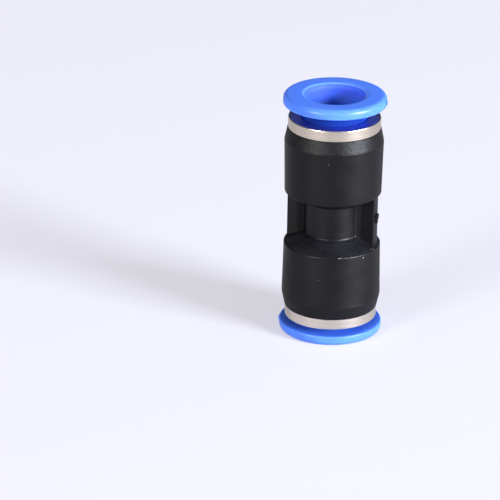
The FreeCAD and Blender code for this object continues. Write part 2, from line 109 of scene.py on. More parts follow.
# Specular levels, and what streaks add to the body's, and what web faces and corners take from it as
# painted shade
BODY_GLOSS = 0.285
STREAK_GLOSS = 0.05
WEB_SHADE = 0.16
CORNER_SHADE = 0.26
SLEEVE_GLOSS = 0.44
# The neck's lower specular level is painted shade
NECK_GLOSS = 0.06

# Red, green and blue as shares of a piece's own colour, then the colour of the lower collar; each paints
# shade, a highlight or a reflection
MOUTH_SHADE_TONE = (0.45, 0.45, 0.8)
NECK_SHADE_TONE = (0.06, 0.12, 0.26)
SHELF_SHADE_TONE = (0.5, 0.6, 0.72)
LINE_HIGHLIGHT_TONE = (2.6, 1.8, 1.1047)
FLANGE_REFLECTION_TONE = (0.4, 0.46, 1.1)
LOWER_COLLAR_REFLECTION = (0.97, 0.87, 0.77)

# Turn from +X in degrees, then lowest and highest point over the body's middle in millimetres
FLASH_RUNS = ((0, 5.2, 16.9), (0, -16.9, -5.2), (180, 5.2, 16.9), (180, -16.9, -5.2))

# Turn from +X in degrees, height over the body's middle in millimetres, share of the typical width
# Those 4.96 to 4.98 mm under the middle, on the lower barrel's top edge, are partly dust and partly a
# painted highlight
DUST_AND_GLINT_SPECKS = (
    (-81.3, 13.1, 0.42), (-86.0, -8.6, 0.36), (-89.8, -9.35, 0.36), (-34.7, -5.5, 1.2),
    (-67.0, -4.98, 0.6), (-65.8, -4.98, 0.8), (-64.4, -4.98, 0.85), (-63.0, -4.98, 0.6),
    (-58.5, -4.97, 0.45), (-57.2, -4.97, 0.35), (-53.0, -4.97, 0.4), (-50.3, -4.96, 0.45),
    (-47.5, -4.97, 0.3), (-72.5, -4.98, 0.3),
)
BURRS = (
    (-79.8, -17.0, 1.0), (-1.0, -14.4, 0.9), (-153.6, -11.9, 0.8), (-13.5, -4.75, 1.9),
    (-11.0, -4.95, 0.9),
)

# Turn to the camera's right and rise in degrees, width and height in metres, colour
LAMPS = {
    "key": (57, 14, 0.6, 0.68, (0.94, 0.97, 1.06)),
    "side": (-41, 14, 0.52, 0.68, (1, 1, 1)),
    "top": (0, 85, 1.35, 1.35, (1, 1, 1)),
}


class ConnectorSizes(bpy.types.PropertyGroup):
    """Sizes of the small features that moulding and handling leave."""
    chamfer: FloatProperty(
        name="Chamfer", description="Height of the rough chamfer at each end of the body",
        default=2.5 * MM, unit="LENGTH")
    flash_width: FloatProperty(
        name="Flash width", description="Width of the flash on the parting line",
        default=FLASH_WIDTH, unit="LENGTH")
    flash_height: FloatProperty(
        name="Flash height", description="How far the flash stands out of the body",
        default=0.05 * MM, unit="LENGTH")
    grain: FloatProperty(
        name="Grain", description="Width of one grain of the rough mould surface",
        default=0.28 * MM, unit="LENGTH")
    speck: FloatProperty(
        name="Speck", description="Width of a typical speck of dust",
        default=0.22 * MM, unit="LENGTH")
    burr: FloatProperty(
        name="Burr", description="Width of a typical burr of the body",
        default=0.5 * MM, unit="LENGTH")
    speck_seed: IntProperty(
        name="Speck seed", description="Seed for the shapes of the specks",
        default=SPECK_SEED)


class ConnectorColours(bpy.types.PropertyGroup):
    """Colours of the materials."""
    plastic: FloatVectorProperty(
        name="Body plastic", description="Black moulded plastic", subtype="COLOR",
        default=(0.002, 0.002, 0.0027))
    sleeve: FloatVectorProperty(
        name="Sleeve plastic", description="Blue moulded plastic", subtype="COLOR",
        default=(0.078, 0.215, 0.86))
    nickel: FloatVectorProperty(
        name="Nickel", description="Nickel plating on brass", subtype="COLOR",
        default=(0.885, 0.775, 0.65))
    steel: FloatVectorProperty(
        name="Spring steel", description="Stamped stainless steel", subtype="COLOR",
        default=(0.62, 0.62, 0.63))
    spacer: FloatVectorProperty(
        name="Spacer", description="Natural white plastic", subtype="COLOR",
        default=(0.72, 0.72, 0.69))
    rubber: FloatVectorProperty(
        name="Rubber", description="Black rubber", subtype="COLOR",
        default=(0.012, 0.012, 0.012))
    # Also the colour of the pale specks that paint glints on the lower barrel's top edge
    dust: FloatVectorProperty(
        name="Dust", description="Dust and lint", subtype="COLOR",
        default=(0.26, 0.26, 0.28))


class ConnectorStudio(bpy.types.PropertyGroup):
    """Camera, lamps and floor."""
    azimuth: FloatProperty(
        name="Azimuth", description="Turn of the camera from the front towards +X",
        default=math.radians(14.4), subtype="ANGLE")
    elevation: FloatProperty(
        name="Elevation", description="Height of the camera above the horizon",
        default=math.radians(21.772), subtype="ANGLE")
    roll: FloatProperty(
        name="Roll", description="Turn of the camera about its line of sight",
        default=math.radians(0.8615), subtype="ANGLE")
    distance: FloatProperty(
        name="Distance", description="From the camera to the point that it is aimed by",
        default=652.34 * MM, unit="LENGTH")
    aim_height: FloatProperty(
        name="Aim height", description="Height on the axis of the point that the camera is aimed by",
        default=22.95 * MM, unit="LENGTH")
    aim_across: FloatProperty(
        name="Aim across", description="Place of that point across the picture, from its middle",
        default=0.02277, precision=5)
    aim_up: FloatProperty(
        name="Aim up", description="Place of that point up the picture, from its middle",
        default=0.0114, precision=5)
    lens: FloatProperty(
        name="Lens", description="Focal length in millimetres of the camera", default=259.65)
    key: FloatProperty(
        name="Key lamp", description="Power of the lamp at the right", default=92.0, unit="POWER")
    top: FloatProperty(
        name="Top lamp", description="Power of the lamp above", default=9.0, unit="POWER")
    side: FloatProperty(
        name="Side lamp", description="Power of the weaker lamp at the left", default=30.0, unit="POWER")
    fill: FloatProperty(
        name="Fill", description="Strength of the light from all sides", default=0.08)
    room: FloatProperty(
        name="Room", description="Share of the backdrop that gloss mirrors over the horizon",
        default=0.09, subtype="FACTOR")
    mirrored_floor: FloatProperty(
        name="Mirrored floor", description="Share of the floor's light that gloss mirrors",
        default=0.59, subtype="FACTOR")
    backdrop: FloatVectorProperty(
        name="Backdrop", description="Colour of the floor and the background", subtype="COLOR",
        default=(0.836, 0.83, 0.912))
    glow: FloatProperty(
        name="Floor glow", description="Share of the floor's colour that no shadow darkens",
        default=0.57, subtype="FACTOR")
    bounce: FloatProperty(
        name="Bounce", description="Share of its light that the floor throws back on the object",
        default=0.47, subtype="FACTOR")


def add_node(tree, kind, inputs=None, **settings):
    """Add a node, set its attributes, and give each input a value or another node's output."""
    made = tree.nodes.new(kind)
    for name, value in settings.items():
        setattr(made, name, value)
    for key, value in (inputs or {}).items():
        if isinstance(value, bpy.types.NodeSocket):
            tree.links.new(value, made.inputs[key])
        else:
            made.inputs[key].default_value = value
    return made


def maths(tree, operation, first, second=0.0):
    """Result of a sum on numbers or outputs."""
    return add_node(tree, "ShaderNodeMath", {0: first, 1: second}, operation=operation).outputs[0]


def new_material(name, colour, **sockets):
    """Material with one Principled shader. Sockets are given by name with _ for spaces."""
    material = bpy.data.materials.new(name)
    material.use_nodes = True
    tree = material.node_tree
    tree.nodes.clear()
    inputs = {key.replace("_", " "): value for key, value in sockets.items()}
    shader = add_node(tree, "ShaderNodeBsdfPrincipled", inputs)
    shader.inputs["Base Color"].default_value = (*colour, 1)
    add_node(tree, "ShaderNodeOutputMaterial", {"Surface": shader.outputs[0]})
    return material, tree, shader


def object_place(tree):
    """Coordinates in the frame, in metres."""
    return add_node(tree, "ShaderNodeTexCoord").outputs["Object"]


def noise(tree, vector, width, detail=2.0, roughness=0.5):
    """Noise whose lumps are about as wide as given in metres."""
    inputs = {"Vector": vector, "Scale": 1 / width, "Detail": detail, "Roughness": roughness}
    return add_node(tree, "ShaderNodeTexNoise", inputs).outputs["Fac"]


def map_range(tree, value, low, high, first, last):
    """Value carried from low..high to first..last, held at the ends."""
    inputs = {"Value": value, "From Min": low, "From Max": high, "To Min": first, "To Max": last}
    return add_node(tree, "ShaderNodeMapRange", inputs, clamp=True).outputs["Result"]


def fade(tree, value, nought, one):
    """Nought at the first place and beyond it, one at the second and beyond."""
    return map_range(tree, value, nought, one, 0.0, 1.0)


def product(tree, *values):
    """All the outputs multiplied."""
    result = values[0]
    for value in values[1:]:
        result = maths(tree, "MULTIPLY", result, value)
    return result


def scaled(colour, shares):
    """Colour with each of its parts times a share of its own."""
    return tuple(part * share for part, share in zip(colour, shares))


def blend(tree, share, first, second):
    """First colour where the share is nought, second where it is one, each a colour or an output."""
    inputs = {"Factor": share}
    for socket, colour in zip(MIX_COLOURS, (first, second)):
        inputs[socket] = colour if isinstance(colour, bpy.types.NodeSocket) else (*colour, 1)
    return add_node(tree, "ShaderNodeMix", inputs, data_type="RGBA").outputs[MIX_RESULT]


def mottle(tree, share, colour, darkest, lightest):
    """Colour that varies in lightness between two shares of itself."""
    return blend(tree, share, scaled(colour, (darkest,) * 3), scaled(colour, (lightest,) * 3))


def bump(tree, shader, height, depth, strength=1.0, below=None):
    """Raise the surface by up to a depth in metres, on top of an earlier bump if there is one."""
    inputs = {"Height": height, "Distance": depth, "Strength": strength}
    if below is not None:
        inputs["Normal"] = below
    raised = add_node(tree, "ShaderNodeBump", inputs).outputs["Normal"]
    tree.links.new(raised, shader.inputs["Normal"])
    return raised


def round_place(tree, place):
    """Distance from the axis, and height."""
    parts = add_node(tree, "ShaderNodeSeparateXYZ", {"Vector": place})
    across = maths(tree, "MULTIPLY", parts.outputs["X"], parts.outputs["X"])
    deep = maths(tree, "MULTIPLY", parts.outputs["Y"], parts.outputs["Y"])
    return maths(tree, "SQRT", maths(tree, "ADD", across, deep)), parts.outputs["Z"]


def rise_from_middle(tree, height):
    """How far a height lies over or under the body's middle."""
    return maths(tree, "ABSOLUTE", maths(tree, "SUBTRACT", height, MIDDLE))


def facing_up(tree):
    """One where the surface faces up, nought where it is upright, and less than nought below."""
    normal = add_node(tree, "ShaderNodeNewGeometry").outputs["Normal"]
    return add_node(tree, "ShaderNodeSeparateXYZ", {"Vector": normal}).outputs["Z"]


def neck_shade(tree, radius, away):
    """One on the neck of a sleeve, between its flange and the collar, where shade is painted, and nought
    elsewhere.
    """
    return product(tree, fade(tree, away, *NECK_END), fade(tree, radius, *NECK_WALL),
                   fade(tree, radius, *NECK_REACH))


def mouth_shade(tree, radius, away):
    """One on the wall of a sleeve's mouth, where shade is painted, fading with depth and towards the
    flange's face.
    """
    return product(tree, fade(tree, radius, *MOUTH_BORE), fade(tree, away, *MOUTH_DEPTH))


def mouth_highlight_line(tree, radius, away):
    """One on a thin line round a sleeve's mouth, where a highlight is painted."""
    return product(tree, fade(tree, away, *LINE_FACE), fade(tree, radius, *LINE_INSIDE),
                   fade(tree, radius, *LINE_OUTSIDE))


def waist_lines(tree, radius, away):
    """Streaks round the column and the cones, where the mould was turned."""
    along = maths(tree, "ADD", radius, away)
    rings = add_node(tree, "ShaderNodeCombineXYZ", {"X": along}).outputs[0]
    return fade(tree, noise(tree, rings, 0.3 * MM), 0.36, 0.64)


def web_masks(tree, place, radius, upward):
    """One on the webs, on their faces but for the left one's outer part, and in their corners, where
    shade is painted.
    """
    parts = add_node(tree, "ShaderNodeSeparateXYZ", {"Vector": place})
    across = parts.outputs["X"]
    off_centre = maths(tree, "ABSOLUTE", parts.outputs["Y"])
    web = product(tree, fade(tree, radius, *WEB_ROOT), fade(tree, off_centre, *WEB_SIDE))
    left = fade(tree, across, *LEFT_SIDE)
    dark_part = maths(tree, "MAXIMUM", left, fade(tree, radius, *RIGHT_WEB_DARK))
    face = product(tree, web, dark_part, fade(tree, across, *LEFT_WEB_END),
                   fade(tree, radius, *WEB_FACE_END))
    tilted = fade(tree, upward, *TILTED)
    beside = maths(tree, "MAXIMUM", tilted, fade(tree, off_centre, *WEB_BESIDE))
    foot = product(tree, fade(tree, radius, *COLUMN_FOOT), tilted, left, 0.5)
    return web, face, maths(tree, "MAXIMUM", product(tree, web, beside, left), foot)


def waist_gloss(tree, place, radius, away, upward, lines):
    """Specular level of the body: streaky on column and cones, and lowered on the webs and in corners as
    painted shade.
    """
    web, face, corner = web_masks(tree, place, radius, upward)
    streaks = map_range(tree, lines, 0.0, 1.0, -STREAK_GLOSS, STREAK_GLOSS)
    turned = product(tree, maths(tree, "SUBTRACT", 1.0, web), streaks)
    # Painted shade: less gloss on the webs' faces and in their corners
    painted_shade = maths(tree, "MAXIMUM", product(tree, face, WEB_SHADE),
                    product(tree, corner, CORNER_SHADE))
    change = product(tree, fade(tree, away, *WAIST), maths(tree, "SUBTRACT", turned, painted_shade))
    return maths(tree, "ADD", change, BODY_GLOSS)


def body_colour(tree, plastic, blotches, lines, upward):
    """Black that varies a little, with painted light: lighter grey in streaks where the cone faces up.
    """
    patches = map_range(tree, blotches, 0.35, 0.65, 0.4, 1.6)
    # Painted light: the cone that faces up is lighter, in streaks
    painted_light_streaks = mottle(tree, product(tree, lines, patches), plastic, 1.8, 7.0)
    plain = mottle(tree, blotches, plastic, 0.8, 1.25)
    return blend(tree, fade(tree, upward, *CONE_TOP), plain, painted_light_streaks)


def moulded_plastic(colours, sizes):
    """Satin black plastic, with a rough moulded grain on the chamfers, turned lines in the waist,
    painted light on the cone that faces up, and painted shade on the webs.
    """
    material, tree, shader = new_material("moulded_plastic", colours.plastic)
    place = object_place(tree)
    radius, height = round_place(tree, place)
    away = rise_from_middle(tree, height)
    upward = facing_up(tree)
    lines = waist_lines(tree, radius, away)
    gloss = waist_gloss(tree, place, radius, away, upward, lines)
    tree.links.new(gloss, shader.inputs["Specular IOR Level"])
    blotches = noise(tree, place, 3.5 * MM, detail=3.0)
    colour = body_colour(tree, colours.plastic, blotches, lines, upward)
    tree.links.new(colour, shader.inputs["Base Color"])
    shoulder = BODY_HALF - sizes.chamfer
    chamfer = fade(tree, away, shoulder - 0.2 * MM, shoulder + 0.3 * MM)
    satin = map_range(tree, blotches, 0.3, 0.7, 0.38, 0.46)
    tree.links.new(maths(tree, "ADD", satin, product(tree, chamfer, 0.03)), shader.inputs["Roughness"])
    fine = bump(tree, shader, noise(tree, place, 0.07 * MM, detail=1.0), 0.004 * MM, 0.6)
    grain = noise(tree, place, sizes.grain, detail=3.0, roughness=0.6)
    relief = product(tree, grain, map_range(tree, chamfer, 0.0, 1.0, 0.12, 1.0))
    bump(tree, shader, relief, 0.08 * MM, 0.9, below=fine)
    return material


def sleeve_plastic(colours):
    """Blue plastic that light enters a little, with faint flow marks, painted shade in neck, mouth and
    on the lower flange's top, and a painted highlight round the mouth.
    """
    material, tree, shader = new_material(
        "sleeve_plastic", colours.sleeve, Subsurface_Weight=0.5,
        Subsurface_Radius=(0.25, 0.45, 1.0), Subsurface_Scale=0.9 * MM)
    place = object_place(tree)
    radius, height = round_place(tree, place)
    away = rise_from_middle(tree, height)
    neck = neck_shade(tree, radius, away)
    mouth = mouth_shade(tree, radius, away)
    # Painted shade on the top face of the lower flange, next to the collar
    shelf_shade = product(tree, fade(tree, height, *SHELF), fade(tree, facing_up(tree), *SHELF_TOP))
    # Painted highlight: a thin pale line round the mouth
    line = product(tree, mouth_highlight_line(tree, radius, away), 0.6)
    flow = noise(tree, place, 2.5 * MM, detail=3.0)
    colour = mottle(tree, flow, colours.sleeve, 0.95, 1.05)
    # Painted shade in the mouth, on the neck and on the lower flange's top, and a painted highlight
    # round the mouth
    for share, tone in ((mouth, MOUTH_SHADE_TONE), (neck, NECK_SHADE_TONE), (shelf_shade, SHELF_SHADE_TONE), (line, LINE_HIGHLIGHT_TONE)):
        colour = blend(tree, share, colour, scaled(colours.sleeve, tone))
    tree.links.new(colour, shader.inputs["Base Color"])
    # Painted shade: a lower specular level on the neck
    gloss = map_range(tree, neck, 0.0, 1.0, SLEEVE_GLOSS, NECK_GLOSS)
    tree.links.new(gloss, shader.inputs["Specular IOR Level"])
    satin = map_range(tree, flow, 0.3, 0.7, 0.34, 0.43)
    dull = product(tree, maths(tree, "MAXIMUM", neck, mouth), 0.3)
    tree.links.new(maths(tree, "ADD", satin, dull), shader.inputs["Roughness"])
    return material


def plated_nickel(colours):
    """Nickel plating with marks of turning, and a painted dark blue reflection of the flange on its end
    faces.
    """
    material, tree, shader = new_material("plated_nickel", colours.nickel, Metallic=1.0)
    place = object_place(tree)
    radius, height = round_place(tree, place)
    spread = add_node(tree, "ShaderNodeVectorMath", {0: place, 1: (0.03, 0.03, 0.03)},
                      operation="MULTIPLY").outputs[0]
    rings = add_node(tree, "ShaderNodeCombineXYZ", {"X": maths(tree, "ADD", radius, height)})
    turned = add_node(tree, "ShaderNodeVectorMath", {0: spread, 1: rings.outputs[0]},
                      operation="ADD").outputs[0]
    marks = noise(tree, turned, 0.09 * MM, detail=3.0, roughness=0.6)
    clouds = noise(tree, place, 2.0 * MM, detail=3.0)
    painted_reflection = fade(tree, maths(tree, "ABSOLUTE", facing_up(tree)), *END_FACE)
    colour = mottle(tree, clouds, colours.nickel, 0.93, 1.05)
    # Painted reflection: end faces tinted dark blue, as if they mirrored the flange
    colour = blend(tree, painted_reflection, colour, scaled(colours.nickel, FLANGE_REFLECTION_TONE))
    # Painted reflection: the lower collar is lighter and whiter, as if it mirrored more of the floor
    colour = blend(tree, fade(tree, height, *LOWER_HALF), colour, LOWER_COLLAR_REFLECTION)
    tree.links.new(colour, shader.inputs["Base Color"])
    tree.links.new(map_range(tree, marks, 0.3, 0.7, 0.24, 0.34), shader.inputs["Roughness"])
    bump(tree, shader, marks, 0.004 * MM, 0.7)
    return material


def spring_steel(colours):
    """Stamped steel, brushed by rolling."""
    material, tree, shader = new_material("spring_steel_finish", colours.steel, Metallic=1.0)
    place = object_place(tree)
    rolled = add_node(tree, "ShaderNodeVectorMath", {0: place, 1: (0.06, 1.0, 1.0)},
                      operation="MULTIPLY").outputs[0]
    lines = noise(tree, rolled, 0.08 * MM, detail=3.0)
    tree.links.new(map_range(tree, lines, 0.3, 0.7, 0.22, 0.4), shader.inputs["Roughness"])
    bump(tree, shader, lines, 0.003 * MM, 0.6)
    return material


def spacer_plastic(colours):
    """Natural white plastic of the rings behind the claws."""
    material, tree, shader = new_material(
        "spacer_finish", colours.spacer, Subsurface_Weight=0.2,
        Subsurface_Radius=(1.0, 0.9, 0.8), Subsurface_Scale=0.6 * MM)
    place = object_place(tree)
    lumps = noise(tree, place, 0.3 * MM, detail=3.0)
    tree.links.new(map_range(tree, lumps, 0.3, 0.7, 0.42, 0.55), shader.inputs["Roughness"])
    bump(tree, shader, lumps, 0.006 * MM, 0.5)
    return material


def seal_rubber(colours):
    """Matt black rubber with a talc bloom."""
    material, tree, shader = new_material("seal_finish", colours.rubber, Specular_IOR_Level=0.35)
    place = object_place(tree)
    bloom = noise(tree, place, 0.5 * MM, detail=4.0)
    tree.links.new(mottle(tree, bloom, colours.rubber, 0.7, 1.9), shader.inputs["Base Color"])
    tree.links.new(map_range(tree, bloom, 0.3, 0.7, 0.6, 0.75), shader.inputs["Roughness"])
    bump(tree, shader, bloom, 0.01 * MM, 0.6)
    return material


def dust_finish(colours):
    """Pale dust, which also paints glints on the lower barrel's top edge."""
    material, tree, shader = new_material("dust_finish", colours.dust, Roughness=0.9)
    lumps = noise(tree, object_place(tree), 0.05 * MM)
    tree.links.new(mottle(tree, lumps, colours.dust, 0.6, 1.3), shader.inputs["Base Color"])
    return material


def finish(name, material):
    """Give a CAD node its material."""
    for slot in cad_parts[name].material_slots:
        slot.material = material


def finish_pair(kind, material):
    """Give the upper and the lower CAD node of one kind their material."""
    for end in ENDS:
        finish(f"{end}_{kind}", material)


def on_surface(name, turn, height):
    """Point and normal on a node's outer wall, at a turn from +X in degrees and a height."""
    turn = math.radians(turn)
    outward = Vector((math.cos(turn), math.sin(turn), 0))
    start = outward * CLEAR_OF_BODY + Vector((0, 0, height))
    hit, point, normal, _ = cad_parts[name].ray_cast(start, -outward)
    if not hit:
        raise RuntimeError(f"nothing of {name} lies at that turn and height")
    return point, normal


def new_piece(name, mesh, material):
    """Object for a finished mesh."""
    piece = bpy.data.objects.new(name, mesh)
    bpy.context.scene.collection.objects.link(piece)
    mesh.materials.clear()
    mesh.materials.append(material)
    return piece


def new_tree(name, sockets):
    """Geometry tree with a mesh input and named inputs, each given as kind and default."""
    tree = bpy.data.node_groups.new(name, "GeometryNodeTree")
    tree.interface.new_socket("Geometry", in_out="INPUT", socket_type="NodeSocketGeometry")
    for label, (kind, value) in sockets.items():
        socket = tree.interface.new_socket(label, in_out="INPUT", socket_type="NodeSocket" + kind)
        socket.default_value = value
    tree.interface.new_socket("Geometry", in_out="OUTPUT", socket_type="NodeSocketGeometry")
    return tree, tree.nodes.new("NodeGroupInput")


def grow(name, tree, mesh, values):
    """Mesh that a tree makes from a mesh, with its inputs set by name."""
    carrier = bpy.data.objects.new(name + "_carrier", mesh)
    bpy.context.scene.collection.objects.link(carrier)
    modifier = carrier.modifiers.new("Make", "NODES")
    modifier.node_group = tree
    for item in tree.interface.items_tree:
        if item.in_out == "INPUT" and item.name in values:
            modifier[item.identifier] = values[item.name]
    bpy.context.view_layer.update()
    evaluated = carrier.evaluated_get(bpy.context.evaluated_depsgraph_get())
    result = bpy.data.meshes.new_from_object(evaluated)
    result.name = name
    bpy.data.objects.remove(carrier)
    if not result.polygons:
        raise RuntimeError(f"{name} came out empty")
    return result


def end_tree(tree, geometry, material):
    """Close a tree with real meshes of one material."""
    real = add_node(tree, "GeometryNodeRealizeInstances", {"Geometry": geometry})
    dressed = add_node(tree, "GeometryNodeSetMaterial", {"Geometry": real.outputs[0]})
    dressed.inputs["Material"].default_value = material
    add_node(tree, "NodeGroupOutput", {0: dressed.outputs[0]})


def flash_tree(material):
    """Ridge that follows a chain of edges and swells and thins along it."""
    tree, given = new_tree("FlashRidge", {
        "Width": ("Float", FLASH_WIDTH), "Seed": ("Float", 1.0)})
    curve = add_node(tree, "GeometryNodeMeshToCurve", {"Mesh": given.outputs["Geometry"]})
    place = add_node(tree, "GeometryNodeInputPosition").outputs[0]
    swell = add_node(tree, "ShaderNodeTexNoise",
                     {"Vector": place, "W": given.outputs["Seed"], "Scale": 1 / FLASH_SWELL_LENGTH},
                     noise_dimensions="4D").outputs["Fac"]
    share = map_range(tree, swell, 0.3, 0.7, *FLASH_SWELL)
    radius = maths(tree, "MULTIPLY", share, maths(tree, "MULTIPLY", given.outputs["Width"], 0.5))
    section = add_node(tree, "GeometryNodeCurvePrimitiveCircle", {"Resolution": 8, "Radius": 1.0})
    swept = add_node(tree, "GeometryNodeCurveToMesh",
                     {"Curve": curve.outputs[0], "Profile Curve": section.outputs[0],
                      "Fill Caps": True, "Scale": radius})
    smooth = add_node(tree, "GeometryNodeSetShadeSmooth", {"Geometry": swept.outputs[0]})
    end_tree(tree, smooth.outputs[0], material)
    return tree


def chain_mesh(name, points):
    """Mesh of one open chain of edges."""
    mesh = bpy.data.meshes.new(name)
    mesh.from_pydata(points, [(index, index + 1) for index in range(len(points) - 1)], [])
    return mesh


def speck_tree(material):
    """Small lumps on points, flattened against the surface and each of its own shape."""
    tree, given = new_tree("Specks", {"Seed": ("Int", SPECK_SEED)})
    lump = add_node(tree, "GeometryNodeMeshIcoSphere", {"Radius": 0.5, "Subdivisions": 2})
    normal = add_node(tree, "GeometryNodeInputNamedAttribute", {"Name": "outward"},
                      data_type="FLOAT_VECTOR").outputs[0]
    width = add_node(tree, "GeometryNodeInputNamedAttribute", {"Name": "width"},
                     data_type="FLOAT").outputs[0]
    upright = add_node(tree, "FunctionNodeAlignEulerToVector", {"Vector": normal}, axis="Z")
    shortest, longest = SPECK_LENGTH
    share = add_node(tree, "FunctionNodeRandomValue",
                     {2: shortest, 3: longest, "Seed": given.outputs["Seed"]},
                     data_type="FLOAT").outputs[1]
    size = add_node(tree, "ShaderNodeCombineXYZ", {
        "X": maths(tree, "MULTIPLY", width, share), "Y": width,
        "Z": maths(tree, "MULTIPLY", width, SPECK_THICKNESS)})
    points = add_node(tree, "GeometryNodeMeshToPoints", {"Mesh": given.outputs["Geometry"]})
    placed = add_node(tree, "GeometryNodeInstanceOnPoints", {
        "Points": points.outputs[0], "Instance": lump.outputs[0],
        "Rotation": upright.outputs[0], "Scale": size.outputs[0]})
    end_tree(tree, placed.outputs[0], material)
    return tree


class CONNECTOR_OT_body(bpy.types.Operator):
    """Finish the moulded body"""
    bl_idname = "connector.body"
    bl_label = "Moulded body"

    def execute(self, context):
        scene = context.scene
        finish("body", moulded_plastic(scene.connector_colours, scene.connector_sizes))
        return {"FINISHED"}


class CONNECTOR_OT_sleeves(bpy.types.Operator):
    """Finish the release sleeves"""
    bl_idname = "connector.sleeves"
    bl_label = "Release sleeves"

    def execute(self, context):
        finish_pair("release_sleeve", sleeve_plastic(context.scene.connector_colours))
        return {"FINISHED"}


class CONNECTOR_OT_collars(bpy.types.Operator):
    """Finish the plated collar rings"""
    bl_idname = "connector.collars"
    bl_label = "Collar rings"

    def execute(self, context):
        finish_pair("collar_ring", plated_nickel(context.scene.connector_colours))
        return {"FINISHED"}


class CONNECTOR_OT_claws(bpy.types.Operator):
    """Finish the lock claws"""
    bl_idname = "connector.claws"
    bl_label = "Lock claws"

    def execute(self, context):
        finish_pair("lock_claw", spring_steel(context.scene.connector_colours))
        return {"FINISHED"}


class CONNECTOR_OT_inner_rings(bpy.types.Operator):
    """Finish the back rings and the seal rings"""
    bl_idname = "connector.inner_rings"
    bl_label = "Inner rings"

    def execute(self, context):
        finish_pair("back_ring", spacer_plastic(context.scene.connector_colours))
        finish_pair("seal_ring", seal_rubber(context.scene.connector_colours))
        return {"FINISHED"}


class CONNECTOR_OT_flash(bpy.types.Operator):
    """Leave flash on the parting line of the body"""
    bl_idname = "connector.flash"
    bl_label = "Flash"

    def execute(self, context):
        sizes = context.scene.connector_sizes
        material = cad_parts["body"].material_slots[0].material
        tree = flash_tree(material)
        for number, (turn, low, high) in enumerate(FLASH_RUNS):
            points = []
            for step in range(FLASH_STEPS + 1):
                height = MIDDLE + (low + (high - low) * step / FLASH_STEPS) * MM
                point, normal = on_surface("body", turn, height)
                points.append(point - normal * (sizes.flash_width / 2 - sizes.flash_height))
            name = f"flash_{number + 1}"
            values = {"Width": sizes.flash_width, "Seed": float(number)}
            mesh = grow(name, tree, chain_mesh(name, points), values)
            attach(new_piece(name, mesh, material), "root")
        return {"FINISHED"}


def scatter(name, marks, width, seed, material):
    """Lumps of one material on the body, each given as turn, height and share of the width."""
    found = [on_surface("body", turn, MIDDLE + height * MM) for turn, height, _ in marks]
    mesh = bpy.data.meshes.new(name + "_points")
    mesh.from_pydata([point for point, normal in found], [], [])
    mesh.attributes.new("outward", "FLOAT_VECTOR", "POINT")
    mesh.attributes.new("width", "FLOAT", "POINT")
    for index, (point, normal) in enumerate(found):
        mesh.attributes["outward"].data[index].vector = normal
        mesh.attributes["width"].data[index].value = width * marks[index][2]
    lumps = grow(name, speck_tree(material), mesh, {"Seed": seed})
    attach(new_piece(name, lumps, material), "root")


class CONNECTOR_OT_specks(bpy.types.Operator):
    """Scatter the specks of dust on the body, and pale specks that paint glints on the lower barrel's
    top edge
    """
    bl_idname = "connector.specks"
    bl_label = "Specks"

    def execute(self, context):
        sizes = context.scene.connector_sizes
        material = dust_finish(context.scene.connector_colours)
        scatter("dust_specks", DUST_AND_GLINT_SPECKS, sizes.speck, sizes.speck_seed, material)
        return {"FINISHED"}


class CONNECTOR_OT_burrs(bpy.types.Operator):
    """Leave small burrs on the edges of the body"""
    bl_idname = "connector.burrs"
    bl_label = "Burrs"

    def execute(self, context):
        sizes = context.scene.connector_sizes
        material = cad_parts["body"].material_slots[0].material
        scatter("burrs", BURRS, sizes.burr, sizes.speck_seed + 1, material)
        return {"FINISHED"}


def camera_axes(studio):
    """Directions to the right of, behind and above a level camera on the axis."""
    azimuth, elevation = studio.azimuth, studio.elevation
    back = Vector((math.sin(azimuth) * math.cos(elevation),
                   -math.cos(azimuth) * math.cos(elevation), math.sin(elevation)))
    right = Vector((math.cos(azimuth), math.sin(azimuth), 0))
    return right, back, back.cross(right)


def set_camera(studio):
    """Stand the camera where the photograph was taken from."""
    right, back, above = camera_axes(studio)
    across = studio.aim_across * math.cos(studio.roll) - studio.aim_up * math.sin(studio.roll)
    up = studio.aim_across * math.sin(studio.roll) + studio.aim_up * math.cos(studio.roll)
    sight = (-back - right * across - above * up).normalized()
    camera = bpy.data.objects.new("camera", bpy.data.cameras.new("camera"))
    camera.data.lens = studio.lens
    camera.data.sensor_width = SENSOR_WIDTH
    camera.location = Vector((0, 0, studio.aim_height)) + back * studio.distance
    roll = Quaternion((0, 0, 1), studio.roll)
    camera.rotation_mode = "QUATERNION"
    camera.rotation_quaternion = sight.to_track_quat("-Z", "Y") @ roll
    bpy.context.scene.collection.objects.link(camera)
    bpy.context.scene.camera = camera


def add_lamp(name, studio, turn, rise, width, height, colour):
    """Soft box at a turn to the camera's right and a rise over the horizon, aimed at the object."""
    side = math.radians(turn) + studio.azimuth - math.pi / 2
    tilt = math.radians(rise)
    toward = Vector((math.cos(side) * math.cos(tilt), math.sin(side) * math.cos(tilt),
                     math.sin(tilt)))
    lamp = bpy.data.objects.new(name, bpy.data.lights.new(name, "AREA"))
    lamp.data.shape = "RECTANGLE"
    lamp.data.size = width
    lamp.data.size_y = height
    lamp.data.energy = getattr(studio, name)
    lamp.data.color = colour
    lamp.location = toward * LAMP_DISTANCE + Vector((0, 0, OBJECT_HEIGHT / 2))
    lamp.rotation_mode = "QUATERNION"
    lamp.rotation_quaternion = toward.to_track_quat("Z", "Y")
    lamp.visible_camera = False
    bpy.context.scene.collection.objects.link(lamp)


def seen_ray(tree):
    """One for rays whose end is seen: from the camera, off gloss or through glass."""
    path = add_node(tree, "ShaderNodeLightPath")
    both = maths(tree, "MAXIMUM", path.outputs["Is Camera Ray"], path.outputs["Is Glossy Ray"])
    return maths(tree, "MAXIMUM", both, path.outputs["Is Transmission Ray"])


